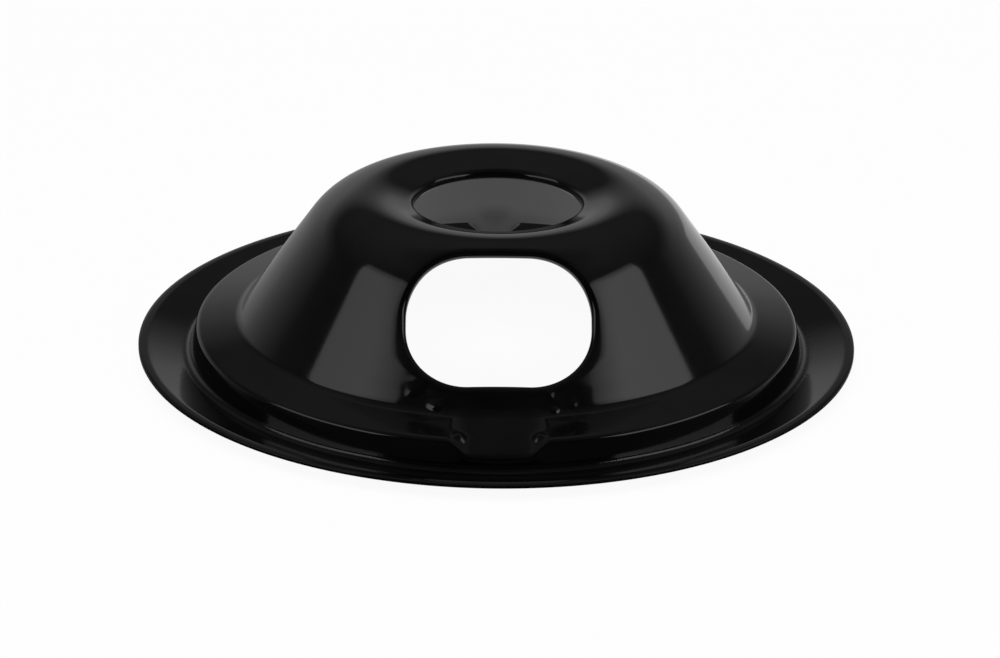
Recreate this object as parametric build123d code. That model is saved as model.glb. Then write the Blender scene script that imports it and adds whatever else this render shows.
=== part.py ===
from build123d import *
import math
import os

# Range drip bowl: one sheet of steel, drawn and pierced in a press, then
# dipped in black porcelain enamel. It lies face down, on the crest of its
# rim, with the small end of the bowl up and the terminal window to -Y.
# Heights count from the crest's corner on the enamelled face; the finished
# sheet is set down on Z = 0. Sizes in mm, angles in degrees.

# Sheet, with the enamel on both sides
sheet = 0.9

# Rim: a level land that lies on the cooktop, and a flange that falls to the crest
rim_radius = 98.5
rim_land = 2.5
rim_height = 3.5
rim_bend = 3.0
rim_edge = 0.3
flange_width = 11.9

# Crest and step: the ring the bowl lies on here, and hangs by in use
crest_bend = 2.0
step_draft = 1.65
step_height = 8.2
step_bend = 1.5

# Ledge: carries the coil's support and drains toward the bowl
ledge_width = 11.7
ledge_slope = 8.5
ledge_bend = 3.0

# Bowl: a straight drawn wall and a round shoulder
bowl_height = 45.5
shoulder_bend = 20.6

# Crown: dished toward a hole with a turned-down lip
hole_radius = 22.85
hole_bend = 2.0
hole_lip = 0.8
crown_width = 12.1
crown_dish = 16.5

# Window for the coil's terminals: a slot with its edge turned inward, from a
# sill above the ledge to a head below the top of the crown
window_length = 49.0
window_sill = 6.9
window_head = 1.6
window_bend = 1.6
window_lip = 1.0

# Two chutes pressed across the ledge, one under the window and one opposite
chute_width = 16.5
chute_rise = 0.6
chute_foot = 4.3
chute_side = 40.0
chute_bend = 3.0

# How far the filled shapes below run on past the sheet
overrun = 20.0

# Radii and heights of the corners, worked out from the rim inward
crest_radius = rim_radius - rim_land - flange_width
step_radius = crest_radius - step_draft
bowl_radius = step_radius - ledge_width
wall_foot = step_height + ledge_width * math.tan(math.radians(ledge_slope))
arc_radius = hole_radius + crown_width
arc_height = bowl_height - shoulder_bend

# The wall rises from the ledge and meets the shoulder's arc in a tangent
to_arc = math.hypot(bowl_radius - arc_radius, arc_height - wall_foot)
toward_arc = math.atan2(arc_height - wall_foot, bowl_radius - arc_radius)
wall_slope = math.degrees(toward_arc + math.asin(shoulder_bend / to_arc))
wall_lean = 1 / math.tan(math.radians(wall_slope))


def meet(a, b):
    """The corner where two section lines cross."""
    (ra, za), angle_a = a
    (rb, zb), angle_b = b
    ca, sa = math.cos(math.radians(angle_a)), math.sin(math.radians(angle_a))
    cb, sb = math.cos(math.radians(angle_b)), math.sin(math.radians(angle_b))
    along = ((rb - ra) * sb - (zb - za) * cb) / (ca * sb - sa * cb)
    return (ra + along * ca, za + along * sa)


def sunk(line, depth):
    """A section line moved to its right, toward the back of the sheet."""
    (r0, z0), angle = line
    turn = math.radians(angle - 90)
    return ((r0 + depth * math.cos(turn), z0 + depth * math.sin(turn)), angle)


# Section of the enamelled face, from the hole out to the rim: a point on each
# straight and the angle it runs at, then the bend between each pair, with the
# hollow ones below zero
dish = math.radians(crown_dish)
crown_point = (arc_radius - shoulder_bend * math.sin(dish), arc_height + shoulder_bend * math.cos(dish))
straights = [
    ((hole_radius, 0), 90),
    (crown_point, crown_dish),
    ((bowl_radius, wall_foot), -wall_slope),
    ((step_radius, step_height), -ledge_slope),
    ((step_radius, step_height), math.degrees(math.atan2(-step_height, step_draft))),
    ((crest_radius, 0), math.degrees(math.atan2(rim_height, flange_width))),
    ((rim_radius, rim_height), 0),
]
bends = [hole_bend, shoulder_bend, -ledge_bend, step_bend, -crest_bend, rim_bend]


def rounded(depth):
    """Start, middle and end of each bend, at a depth below the enamelled face."""
    lines = [sunk(line, depth) for line in straights]
    corners = []
    for before, after, bend in zip(lines, lines[1:], bends):
        r, z = meet(before, after)
        radius = max(bend - depth, 0.05) if bend > 0 else depth - bend
        a, b = math.radians(before[1]), math.radians(after[1])
        half = (b - a) / 2
        reach = radius * math.tan(abs(half))
        sag = radius * (1 / math.cos(half) - 1)
        inward = (a + b) / 2 + math.copysign(math.pi / 2, half)
        start = (r - reach * math.cos(a), 0, z - reach * math.sin(a))
        middle = (r + sag * math.cos(inward), 0, z + sag * math.sin(inward))
        end = (r + reach * math.cos(b), 0, z + reach * math.sin(b))
        corners.append((start, middle, end))
    return corners


def filled(depth):
    """Everything under the round sheet, at a depth below its enamelled face."""
    hole_foot = (hole_radius + depth, 0, -overrun)
    rim_foot = (rim_radius + depth, 0, -overrun)
    rim_top = (rim_radius + depth, 0, rim_height - depth)
    edges = []
    at = hole_foot
    for start, middle, end in rounded(depth):
        edges.append(Line(at, start))
        edges.append(ThreePointArc(start, middle, end))
        at = end
    edges.append(Line(at, rim_top))
    edges.append(Line(rim_top, rim_foot))
    edges.append(Line(rim_foot, hole_foot))
    return revolve(make_face(edges), Axis.Z)


# Chutes: a flat ramp sunk into the ledge, from just above the wall's foot to the step
chute_top = wall_foot + chute_rise
chute_start = bowl_radius - chute_rise * wall_lean
chute_end = crest_radius - chute_foot * step_draft / step_height
chute_run = math.hypot(chute_end - chute_start, chute_top - chute_foot)
chute_fall = math.atan2(chute_top - chute_foot, chute_end - chute_start)
chute_turn = math.radians(wall_slope) - chute_fall
chute_plane = Plane(
    origin=(0, -chute_start, chute_top),
    x_dir=(1, 0, 0),
    z_dir=(0, -math.cos(chute_fall), -math.sin(chute_fall)),
)
chute_depth = overrun / 2
chute_flare = chute_depth / math.tan(math.radians(chute_side))


def chute(depth):
    """The trough over a chute's ramp, at a depth below the enamelled face."""
    half = chute_width / 2 + depth * math.tan(math.radians(chute_side) / 2)
    out = half + chute_flare
    top = chute_depth - depth
    face = make_face(Polyline((-half, -depth), (half, -depth), (out, top), (-out, top), close=True))
    face = fillet(face.vertices().sort_by_distance((0, -depth))[:2], chute_bend + depth)
    start = -depth * math.tan(chute_turn / 2)
    return extrude(chute_plane.offset(start) * face, chute_run + crest_bend - start)


# Window: a slot square to the line from its sill to its head, along the way
# the punch goes
sill_height = wall_foot + window_sill
sill_radius = bowl_radius - window_sill * wall_lean
head_height = bowl_height - window_head
head_radius = arc_radius + math.sqrt(shoulder_bend**2 - (head_height - arc_height) ** 2)
window_width = math.hypot(sill_radius - head_radius, head_height - sill_height)
window_plane = Plane(
    origin=(0, -(sill_radius + head_radius) / 2, (sill_height + head_height) / 2),
    x_dir=(1, 0, 0),
    z_dir=(0, sill_height - head_height, sill_radius - head_radius),
)


def at_window(edge, depth):
    """Whether an edge runs round the window's slot, in the face of the sheet."""
    place = window_plane.to_local_coords(edge.center())
    within = abs(place.X) < window_length / 2 + depth + 0.01
    within = within and abs(place.Y) < window_width / 2 + depth + 0.01
    return within and place.Z > -overrun / 2


def formed(depth):
    """Everything under the sheet before it is pierced, at a depth below its enamelled face."""
    body = filled(depth)
    for turn in (0, 180):
        body = body - Rot(0, 0, turn) * chute(depth)
    return body


def pierced(depth):
    """The same with the window's slot through it and the slot's edge turned in."""
    body = formed(depth)
    slot = SlotOverall(window_length + 2 * depth, window_width + 2 * depth)
    body = body - extrude(window_plane.offset(-overrun) * slot, 2 * overrun)
    edge = [e for e in body.edges() if at_window(e, depth)]
    return fillet(edge, window_bend - depth)


# The sheet lies between its two faces; the window's lip and the hole's lip are
# trimmed to length, and the rim's cut edge is broken
window_edge = window_bend + window_lip
hole_end = rounded(0)[0][0][2] - hole_lip
hole_clear = hole_radius + window_edge + sheet
bowl = pierced(0) - pierced(sheet)
bowl = bowl - formed(window_edge)
bowl = bowl - Pos(0, 0, hole_end) * Cylinder(
    hole_clear, bowl_height + overrun, align=(Align.CENTER, Align.CENTER, Align.MAX)
)
rim_edges = [e for e in bowl.edges().filter_by(GeomType.CIRCLE) if e.radius > rim_radius - 0.01]
bowl = chamfer(rim_edges, rim_edge)
bowl = Pos(0, 0, -bowl.bounding_box().min.Z) * bowl

os.makedirs("parts", exist_ok=True)
export_step(bowl, "parts/drip_bowl.step")
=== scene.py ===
import math

import bmesh
import bpy
from mathutils import Matrix, Vector


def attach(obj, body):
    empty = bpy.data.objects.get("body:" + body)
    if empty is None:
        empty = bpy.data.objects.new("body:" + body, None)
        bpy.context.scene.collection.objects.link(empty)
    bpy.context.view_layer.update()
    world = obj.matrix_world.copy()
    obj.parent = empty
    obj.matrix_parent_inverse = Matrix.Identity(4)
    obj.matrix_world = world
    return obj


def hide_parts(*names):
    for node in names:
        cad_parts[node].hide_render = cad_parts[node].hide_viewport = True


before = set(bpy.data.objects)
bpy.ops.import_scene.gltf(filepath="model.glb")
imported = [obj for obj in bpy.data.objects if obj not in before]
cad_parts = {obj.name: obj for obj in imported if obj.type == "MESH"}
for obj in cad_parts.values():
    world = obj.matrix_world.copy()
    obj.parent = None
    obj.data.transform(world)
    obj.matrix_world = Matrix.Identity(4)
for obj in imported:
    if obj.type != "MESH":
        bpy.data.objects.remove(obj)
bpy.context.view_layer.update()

# Drip bowl: one round of sheet steel, drawn to shape in a press. The round
# section runs from the lip of the crown's hole, over the shoulder and down the
# wall, across the ledge and the step to the crest it lies on, and out to the rim.
mm = 0.001
sheet = 0.9
lip_foot = Vector((22.85, 0, 40.88))
hole_corner = Vector((22.85, 0, 43.15))
shoulder_corner = Vector((43.25, 0, 49.19))
wall_split = Vector((67.81, 0, 14.476))
ledge_corner = Vector((70.75, 0, 10.32))
step_corner = Vector((82.45, 0, 8.57))
crest_corner = Vector((84.55, 0, 0.385))
step_split = step_corner.lerp(crest_corner, 0.72)
rim_corner = Vector((96.0, 0, 3.87))
rim_end = Vector((98.49, 0, 3.87))
hole_bend, shoulder_bend, ledge_bend = 2.0, 20.6, 3.0
step_bend, crest_bend, rim_bend = 1.5, 2.0, 3.0


def draw_run(line, end, steps):
    """Draws a straight run on from the line's last vertex."""
    pen = line.verts[-1]
    step = (end - pen.co) / steps
    for _ in range(steps):
        pen = bmesh.ops.extrude_vert_indiv(line, verts=[pen])["verts"][0]
        pen.co += step
    line.verts.ensure_lookup_table()


def draw_bend(line, corner, end, radius, run_steps, steps):
    """Draws a straight run toward a corner and the round bend that turns there toward end."""
    before = (corner - line.verts[-1].co).normalized()
    after = (end - corner).normalized()
    turn = before.angle(after)
    side = before.cross(after).normalized()
    reach = radius * math.tan(turn / 2)
    draw_run(line, corner - before * reach, run_steps)
    pen = line.verts[-1]
    centre = pen.co + side.cross(before) * radius
    bmesh.ops.spin(line, geom=[pen], cent=centre, axis=side, angle=turn, steps=steps)
    line.verts.ensure_lookup_table()


bowl = bmesh.new()
bowl.verts.new(lip_foot)
bowl.verts.ensure_lookup_table()
draw_bend(bowl, hole_corner, shoulder_corner, hole_bend, 2, 8)
draw_bend(bowl, shoulder_corner, ledge_corner, shoulder_bend, 5, 26)
draw_run(bowl, wall_split, 12)
chute_first = len(bowl.verts) - 1
draw_bend(bowl, ledge_corner, step_corner, ledge_bend, 4, 10)
draw_bend(bowl, step_corner, crest_corner, step_bend, 14, 8)
draw_run(bowl, step_split, 3)
chute_last = len(bowl.verts) - 1
draw_bend(bowl, crest_corner, rim_corner, crest_bend, 2, 10)
draw_bend(bowl, rim_corner, rim_end, rim_bend, 9, 4)
draw_run(bowl, rim_end, 2)

# The two chutes have a section of their own, drawn with as many vertices as the
# ledge and step that it takes the place of: a flat ramp from the wall to the step.
chute_corner = Vector((70.33, 0, 10.92))
chute_edge = Vector((83.45, 0, 4.67))
chute_bend, edge_bend = 5.0, 2.9
chute = bmesh.new()
chute.verts.new(wall_split)
chute.verts.ensure_lookup_table()
draw_bend(chute, chute_corner, chute_edge, chute_bend, 4, 10)
draw_bend(chute, chute_edge, crest_corner, edge_bend, 14, 8)
draw_run(chute, step_split, 3)
chute_line = [v.co.copy() for v in chute.verts]
chute.free()

# The section is spun round, more finely across the chutes, and each vertex keeps
# the number of its row in the section.
row = bowl.verts.layers.int.new("row")
for number, vertex in enumerate(bowl.verts):
    vertex[row] = number
fine_arc, fine_steps = 32, 64
plain_arc, plain_steps = 148, 94
first_turn = Matrix.Rotation(math.radians(-90 - fine_arc / 2), 3, "Z")
bmesh.ops.rotate(bowl, verts=bowl.verts, cent=(0, 0, 0), matrix=first_turn)
edge = list(bowl.verts) + list(bowl.edges)
for arc, steps in 2 * ((fine_arc, fine_steps), (plain_arc, plain_steps)):
    spun = bmesh.ops.spin(
        bowl, geom=edge, cent=(0, 0, 0), axis=(0, 0, 1), angle=math.radians(arc), steps=steps
    )
    edge = spun["geom_last"]
bmesh.ops.remove_doubles(bowl, verts=bowl.verts, dist=0.002)

# The press forms the chutes across the ledge, at the front and the back. They
# are flat across the middle and run softly into the ledge on each side. The one
# at the back starts as a narrow, deep neck at the wall and widens to the step.
chute_flat, chute_soft = 7.2, 13.6
chute_ends = 0.25
neck_flat, neck_soft, neck_depth = 0.6, 7.2, 3.6
neck_inner, neck_outer = 70.0, 81.0
dip_inner, dip_outer, dip_lean = 67.3, 82.3, 0.6


def part_way(value, first, last):
    """How far a value has come from first to last, held between 0 and 1."""
    return min(max((value - first) / (last - first), 0), 1)


def eased(share):
    """A share from 0 to 1 with a soft start and a soft end."""
    return share * share * (3 - 2 * share)


for vertex in bowl.verts:
    if chute_first <= vertex[row] <= chute_last and abs(vertex.co.x) < chute_soft:
        out = chute_line[vertex[row] - chute_first]
        widening, dip = 1.0, 0.0
        if vertex.co.y > 0:
            widening = part_way(out.x, neck_inner, neck_outer)
            dip = neck_depth * math.sin(math.pi * part_way(out.x, dip_inner, dip_outer) ** dip_lean) ** 2
        flat = neck_flat + (chute_flat - neck_flat) * widening
        soft = neck_soft + (chute_soft - neck_soft) * widening
        along = part_way(vertex[row], chute_first, chute_last)
        level = min(along / chute_ends, 1, (1 - along) / chute_ends)
        curve = math.sqrt(out.x**2 - vertex.co.x**2)
        depth = math.copysign(curve + level * (out.x - curve), vertex.co.y)
        pressed = Vector((vertex.co.x, depth, out.z - dip))
        vertex.co = vertex.co.lerp(pressed, eased(part_way(abs(vertex.co.x), soft, flat)))

# Drawing the front chute down buckles the sheet a little in its two corners.
buckles = (
    (Vector((-10.0, -78.5, 7.6)), 2.5, 1.45),
    (Vector((10.2, -78.5, 7.6)), 2.3, 1.35),
)
for middle, reach, rise in buckles:
    for vertex in bowl.verts:
        vertex.co.z += rise * eased(part_way((vertex.co - middle).length, reach, 0))

# The window for the coil's terminals is punched through the wall and shoulder
# as a slot, and its edge is turned inward all round in one bend.
window_sill = Vector((0, -65.87, 17.22))
window_head = Vector((0, -42.91, 44.27))
window_length, window_corner = 48.4, 16.4
window_bend, window_depth = 1.6, 2.6
across = Vector((1, 0, 0))
window_up = (window_head - window_sill).normalized()
window_out = across.cross(window_up)
window_centre = (window_sill + window_head) / 2
half_across = window_length / 2 - window_corner
half_up = (window_head - window_sill).length / 2 - window_corner
shoulder_middle = Vector((34.95, 25.256))
wall_slope, crown_dish = 54.74, 16.5
wall_turn, crown_turn = math.radians(90 - wall_slope), math.radians(90 + crown_dish)


def facing(point):
    """How far a point stands off the bowl's face, and the face's direction there."""
    radius = math.hypot(point.x, point.y)
    off = Vector((radius, point.z)) - shoulder_middle
    turn = min(max(math.atan2(off.y, off.x), wall_turn), crown_turn)
    stand = off.x * math.cos(turn) + off.y * math.sin(turn) - shoulder_bend
    flat = math.cos(turn) / radius
    return stand, Vector((point.x * flat, point.y * flat, math.sin(turn)))


def on_bowl(point):
    """The place on the bowl's face straight under or over a point, along the punch's way."""
    for _ in range(8):
        stand, normal = facing(point)
        point = point - window_out * (stand / normal.dot(window_out))
    return point


def turned_edge(start):
    """The places that the sheet runs through from a vertex outside the window to the cut edge."""
    flat = start - window_centre
    place = Vector((flat.x, flat.dot(window_up)))
    middle = Vector((min(max(place.x, -half_across), half_across), min(max(place.y, -half_up), half_up)))
    way = (place - middle).normalized()
    place = middle + way * window_corner
    corner = on_bowl(window_centre + across * place.x + window_up * place.y)
    normal = facing(corner)[1]
    inward = across * -way.x + window_up * -way.y
    inward = (inward - normal * inward.dot(normal)).normalized()
    turn = inward.angle(-window_out)
    reach = window_bend * math.tan(turn / 2)
    bend_start = on_bowl(corner - inward * reach)
    bend_end = corner - window_out * reach
    side = -(window_out - inward * inward.dot(window_out)).normalized()
    centre = corner - inward * reach + side * window_bend
    lift = bend_start - corner + inward * reach
    cut = corner - window_out * (window_depth / normal.dot(window_out))
    places = []
    for share in (0.2, 0.4, 0.6, 0.8):
        places.append(on_bowl(start.lerp(bend_start, share)))
    places.append(bend_start)
    bend_steps = 8
    for step in range(1, bend_steps + 1):
        share = step / bend_steps
        arc = (inward * math.sin(turn * share) - side * math.cos(turn * share)) * window_bend
        places.append(centre + arc + lift * (1 - share) ** 2)
    places.append(bend_end.lerp(cut, 0.5))
    places.append(cut)
    return places


# The faces round the window make way for rings that run from them to the cut edge.
patch_radius, patch_angle = 38.2, 36
punched = []
for face in bowl.faces:
    middle = face.calc_center_median()
    outside = math.hypot(middle.x, middle.y) > patch_radius
    in_front = abs(math.degrees(math.atan2(middle.x, -middle.y))) < patch_angle
    if outside and in_front and max(vertex[row] for vertex in face.verts) <= chute_first:
        punched.append(face)
inside = set(punched)
round_it = [e for e in bowl.edges if sum(f in inside for f in e.link_faces) == 1]
places = {v: turned_edge(v.co) for e in round_it for v in e.verts}
bmesh.ops.delete(bowl, geom=punched, context="FACES")
for ring in range(len(next(iter(places.values())))):
    made = bmesh.ops.extrude_edge_only(bowl, edges=round_it)["geom"]
    moved = {}
    for vertex in [g for g in made if isinstance(g, bmesh.types.BMVert)]:
        source = next(e.other_vert(vertex) for e in vertex.link_edges if e.other_vert(vertex) in places)
        moved[vertex] = places[source]
    for vertex, way in moved.items():
        vertex.co = way[ring]
    places = moved
    made_edges = [g for g in made if isinstance(g, bmesh.types.BMEdge)]
    round_it = [e for e in made_edges if all(v in moved for v in e.verts)]

# The sheet gets its thickness inward from the outer face, and its cut edges are
# broken a little.
edge_break = 0.28
bmesh.ops.recalc_face_normals(bowl, faces=bowl.faces)
bmesh.ops.scale(bowl, vec=(mm, mm, mm), verts=bowl.verts)
for face in bowl.faces:
    face.smooth = True
mesh = bpy.data.meshes.new("drip_bowl_enamelled")
bowl.to_mesh(mesh)
bowl.free()
drip_bowl = bpy.data.objects.new("drip_bowl_enamelled", mesh)
bpy.context.collection.objects.link(drip_bowl)
wall = drip_bowl.modifiers.new("sheet", "SOLIDIFY")
wall.thickness = sheet * mm
wall.offset = -1
broken = drip_bowl.modifiers.new("cut edges", "BEVEL")
broken.width = edge_break * mm
broken.segments = 2
broken.limit_method = "ANGLE"
broken.angle_limit = math.radians(60)


# Black porcelain enamel, dipped and fired: a thick glassy coat that pulls into
# slow waves and a faint orange peel as it melts, and is grainier along the crest.
class Wire:
    """A shader socket. Arithmetic on wires adds Math nodes, and node() adds any other."""

    def __init__(self, tree, socket=None):
        self.tree = tree
        self.socket = socket

    def node(self, kind, settings, values, out=0):
        made = self.tree.nodes.new(kind)
        for name, value in settings.items():
            if name == "stops":
                for element, (position, color) in zip(made.color_ramp.elements, value):
                    element.position, element.color = position, color
            else:
                setattr(made, name, value)
        for name, value in values.items():
            if isinstance(value, Wire):
                self.tree.links.new(value.socket, made.inputs[name])
            else:
                made.inputs[name].default_value = value
        return Wire(self.tree, made.outputs[out] if made.outputs else None)

    def math(self, operation, a, b):
        return self.node("ShaderNodeMath", {"operation": operation}, {0: a, 1: b})

    def __add__(self, other):
        return self.math("ADD", self, other)

    def __radd__(self, other):
        return self.math("ADD", other, self)

    def __sub__(self, other):
        return self.math("SUBTRACT", self, other)

    def __rsub__(self, other):
        return self.math("SUBTRACT", other, self)

    def __mul__(self, other):
        return self.math("MULTIPLY", self, other)

    def __rmul__(self, other):
        return self.math("MULTIPLY", other, self)


enamel = bpy.data.materials.new("black_enamel")
enamel.use_nodes = True
enamel.node_tree.nodes.clear()
start = Wire(enamel.node_tree)
place = start.node("ShaderNodeTexCoord", {}, {}, "Object")
waves = start.node("ShaderNodeTexNoise", {}, {"Vector": place, "Scale": 45.0, "Detail": 1.0})
peel = start.node("ShaderNodeTexNoise", {}, {"Vector": place, "Scale": 420.0, "Detail": 2.0})
grain = start.node("ShaderNodeTexNoise", {}, {"Vector": place, "Scale": 1400.0, "Detail": 2.0})
cloud = start.node("ShaderNodeTexNoise", {}, {"Vector": place, "Scale": 90.0, "Detail": 4.0})
level = start.node("ShaderNodeSeparateXYZ", {}, {"Vector": place}, "Z")
low = start.node("ShaderNodeMapRange", {}, {"Value": level, "From Min": 4 * mm, "From Max": 1 * mm})
wave_height, peel_height, grain_height = 0.05, 0.003, 0.03
height = waves * (wave_height * mm) + peel * (peel_height * mm) + low * grain * (grain_height * mm)

# The press leaves small marks and two shallow dents in the wall under the window,
# each given as its middle, how far it reaches and how high it stands.
press_marks = (
    ((19.4, -66.2, 13.0), 2.4, 0.14),
    ((12.6, -66.4, 14.7), 1.9, 0.12),
    ((14.4, -68.0, 12.1), 1.5, 0.32),
    ((18.0, -66.5, 13.4), 7.5, -0.28),
    ((-17.3, -66.9, 12.6), 2.6, 0.42),
    ((-22.4, -63.9, 14.6), 2.9, 0.14),
    ((-19.8, -65.7, 13.6), 7.5, -0.28),
)
stray = 3 * mm
drift = start.node("ShaderNodeTexNoise", {}, {"Vector": place, "Scale": 170.0, "Detail": 0.0}, "Color")
drift = start.node("ShaderNodeVectorMath", {"operation": "SUBTRACT"}, {0: drift, 1: (0.5, 0.5, 0.5)})
drifted = start.node(
    "ShaderNodeVectorMath", {"operation": "MULTIPLY_ADD"}, {0: drift, 1: (stray, stray, stray), 2: place}
)
for middle, reach, rise in press_marks:
    mark = tuple(size * mm for size in middle)
    away = start.node("ShaderNodeVectorMath", {"operation": "DISTANCE"}, {0: drifted, 1: mark}, "Value")
    lump = start.node(
        "ShaderNodeMapRange",
        {"interpolation_type": "SMOOTHSTEP"},
        {"Value": away, "From Min": reach * mm, "From Max": 0.0},
    )
    height = height + lump * (rise * mm)
bump = start.node("ShaderNodeBump", {}, {"Strength": 1.0, "Distance": 1.0, "Height": height})
deep_black, soft_black = (0.0011, 0.0011, 0.0012, 1), (0.0022, 0.0022, 0.0024, 1)
coat = start.node("ShaderNodeValToRGB", {"stops": ((0.3, deep_black), (0.7, soft_black))}, {"Fac": cloud})
shader = start.node(
    "ShaderNodeBsdfPrincipled",
    {},
    {"Base Color": coat, "Roughness": 0.06 + 0.06 * cloud, "IOR": 1.5, "Normal": bump},
)
start.node("ShaderNodeOutputMaterial", {}, {"Surface": shader})
mesh.materials.append(enamel)
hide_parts("drip_bowl")
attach(drip_bowl, "root")

# Floor: a white table under the bowl, which keeps a faint shadow. To glossy rays it glows with a painted
# reflection instead:
# bright under the bowl and behind it, dimmer on the left, and dark in front, so that the enamel mirrors
# that painted pattern.
floor_size = 6.0
ground = bmesh.new()
bmesh.ops.create_grid(ground, x_segments=1, y_segments=1, size=floor_size / 2)
floor_mesh = bpy.data.meshes.new("table")
ground.to_mesh(floor_mesh)
ground.free()
floor = bpy.data.objects.new("table", floor_mesh)
bpy.context.collection.objects.link(floor)
white = bpy.data.materials.new("white_table_painted_reflection")
white.use_nodes = True
white.node_tree.nodes.clear()
start = Wire(white.node_tree)
place = start.node("ShaderNodeTexCoord", {}, {}, "Object")
sideways = start.node("ShaderNodeSeparateXYZ", {}, {"Vector": place}, "X")
backward = start.node("ShaderNodeSeparateXYZ", {}, {"Vector": place}, "Y")
outward = start.node("ShaderNodeVectorMath", {"operation": "LENGTH"}, {0: place}, "Value")
behind = start.node(
    "ShaderNodeMapRange", {}, {"Value": backward, "From Min": -0.04, "From Max": 0.06, "To Min": 0.06}
)
to_right = start.node(
    "ShaderNodeMapRange",
    {},
    {"Value": sideways, "From Min": -0.07, "From Max": 0.05, "To Min": 0.35, "To Max": 0.8},
)
under = start.node("ShaderNodeMapRange", {}, {"Value": outward, "From Min": 0.1, "From Max": 0.085})
inside = start.node(
    "ShaderNodeMapRange",
    {},
    {"Value": backward, "From Min": 0.066, "From Max": 0.0775, "To Min": 0.95, "To Max": 0.15},
)
# Painted reflection: a made-up brightness pattern that the table shows only to glossy rays; to the camera
# it stays white.
painted_reflection = behind * to_right * (1 - under) + inside * under
gloss = start.node("ShaderNodeLightPath", {}, {}, "Is Glossy Ray")
seen = start.node("ShaderNodeLightPath", {}, {}, "Is Camera Ray")
seen = seen + start.node("ShaderNodeLightPath", {}, {}, "Is Transmission Ray")
matt = start.node("ShaderNodeBsdfDiffuse", {}, {"Color": (0.9, 0.9, 0.9, 1)})
glow = start.node("ShaderNodeEmission", {}, {"Color": 1 - gloss * (1 - painted_reflection), "Strength": 1.0})
table_top = start.node("ShaderNodeMixShader", {}, {0: 0.94 * seen + gloss, 1: matt, 2: glow})
start.node("ShaderNodeOutputMaterial", {}, {"Surface": table_top})
floor_mesh.materials.append(white)

# Studio: a dim room, paler low down behind the bowl and high up, with a soft box
# on each side and a wide panel overhead that lights without being mirrored.
world = bpy.data.worlds.new("studio")
bpy.context.scene.world = world
world.use_nodes = True
world.node_tree.nodes.clear()
start = Wire(world.node_tree)
way = start.node("ShaderNodeTexCoord", {}, {}, "Generated")
upward = start.node("ShaderNodeSeparateXYZ", {}, {"Vector": way}, "Z")
backward = start.node("ShaderNodeSeparateXYZ", {}, {"Vector": way}, "Y")
low_down = start.node(
    "ShaderNodeMapRange", {}, {"Value": upward, "From Min": 0.44, "From Max": 0.26, "To Max": 0.32}
)
behind = start.node(
    "ShaderNodeMapRange", {}, {"Value": backward, "From Min": 0.4, "From Max": 0.88, "To Min": 0.08}
)
ceiling = 0.04
for first, last, gain in ((0.0, 0.45, 0.015), (0.45, 0.82, 0.085), (0.82, 1.0, -0.08)):
    ceiling = ceiling + start.node(
        "ShaderNodeMapRange", {}, {"Value": upward, "From Min": first, "From Max": last, "To Max": gain}
    )
overhead = start.node(
    "ShaderNodeMapRange", {}, {"Value": backward, "From Min": -0.7, "From Max": 0.1, "To Min": 0.15}
)
room = start.node(
    "ShaderNodeBackground", {}, {"Color": low_down * behind + ceiling * overhead, "Strength": 1.0}
)
start.node("ShaderNodeOutputWorld", {}, {"Surface": room})


def soft_box(name, place, width, length, radiance):
    """A rectangular lamp that faces the bowl and shows as an even panel of that brightness."""
    light = bpy.data.lights.new(name, "AREA")
    light.shape = "RECTANGLE"
    light.size, light.size_y = width, length
    light.energy = radiance * math.pi * width * length
    lamp = bpy.data.objects.new(name, light)
    lamp.location = place
    bowl_middle = Vector((0, 0, 0.02))
    lamp.rotation_euler = (bowl_middle - lamp.location).to_track_quat("-Z", "Y").to_euler()
    bpy.context.collection.objects.link(lamp)
    return lamp


left_box = soft_box("left_box", (-1.203, -0.477, 0.8), 1.24, 0.6, 1.35)
right_box = soft_box("right_box", (1.22, -0.43, 0.8), 1.34, 0.6, 1.6)
panel = soft_box("overhead_panel", (0, 0, 1.6), 2.0, 2.0, 2.2)
panel.visible_glossy = False

# The two boxes are brighter at their front ends and fade toward their tops.
for box, back_end in ((left_box, 0.0), (right_box, 1.0)):
    box.data.use_nodes = True
    box.data.node_tree.nodes.clear()
    start = Wire(box.data.node_tree)
    spread = start.node("ShaderNodeNewGeometry", {}, {}, "Parametric")
    along = start.node("ShaderNodeSeparateXYZ", {}, {"Vector": spread}, "X")
    up = start.node("ShaderNodeSeparateXYZ", {}, {"Vector": spread}, "Y")
    front = start.node(
        "ShaderNodeMapRange",
        {},
        {"Value": along, "From Min": back_end, "From Max": 1 - back_end, "To Min": 0.65},
    )
    fade = start.node(
        "ShaderNodeMapRange", {}, {"Value": up, "From Min": 1.0, "From Max": 0.7, "To Min": 0.25}
    )
    glow = start.node("ShaderNodeEmission", {}, {"Color": front * fade, "Strength": 1.0})
    start.node("ShaderNodeOutputLight", {}, {"Surface": glow})

# Camera: a long lens in front of the window, looking down on the bowl at the
# photograph's angle and turned a little aside.
camera_data = bpy.data.cameras.new("camera")
camera_data.sensor_width = 36.0
camera_data.lens = 130.27
camera = bpy.data.objects.new("camera", camera_data)
pitch, roll = 0.39714, 0.0101494
aside = Matrix.Rotation(math.radians(-0.72), 4, "Z")
turned = aside @ Matrix.Rotation(math.pi / 2 - pitch, 4, "X") @ Matrix.Rotation(roll, 4, "Z")
camera.location = aside @ Vector((0.000985, -0.921449, 0.391739))
camera.rotation_euler = turned.to_euler()
bpy.context.collection.objects.link(camera)
bpy.context.scene.camera = camera
bpy.context.scene.view_settings.view_transform = "Standard"
